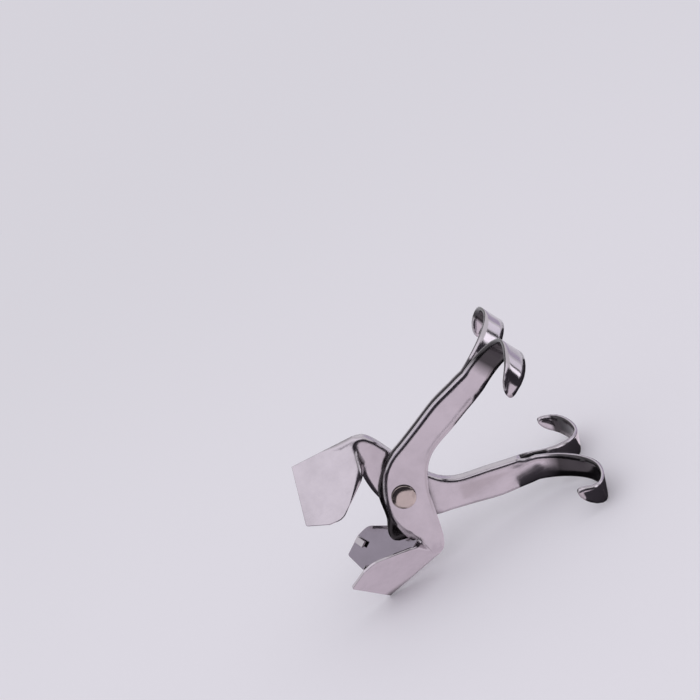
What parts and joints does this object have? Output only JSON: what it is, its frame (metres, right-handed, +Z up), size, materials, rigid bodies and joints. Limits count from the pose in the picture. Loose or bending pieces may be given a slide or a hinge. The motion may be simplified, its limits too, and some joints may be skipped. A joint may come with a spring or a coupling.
{
  "type": "champagne opener",
  "caption": "Chromed champagne opener: crossed folded levers on a rivet, with V jaws, hooked teeth and finger horns",
  "frame": {"origin": "centre of the bounding box in X and Y, at the height of the ground that the tool stands on", "axes": "+X runs from the jaws to the handles, +Y along the rivet to the lower handle's lever, +Z up"},
  "size_m": [0.1542, 0.1138, 0.1061],
  "materials": {
    "upper_lever_chrome": "polished",
    "lower_lever_chrome": "polished",
    "rivet_steel": "polished"
  },
  "bodies": {
    "lower_handle": {"lower_handle_lever": "lower_lever_chrome", "pivot_rivet": "rivet_steel"},
    "upper_handle": {"upper_handle_lever": "upper_lever_chrome"}
  },
  "joints": [
    {"name": "handles_pivot", "type": "hinge", "parent": "lower_handle", "child": "upper_handle", "pos_m": [-0.02457, 0, 0.0497], "axis": [0, 1, 0], "range_deg": [-40, 40]}
  ]
}
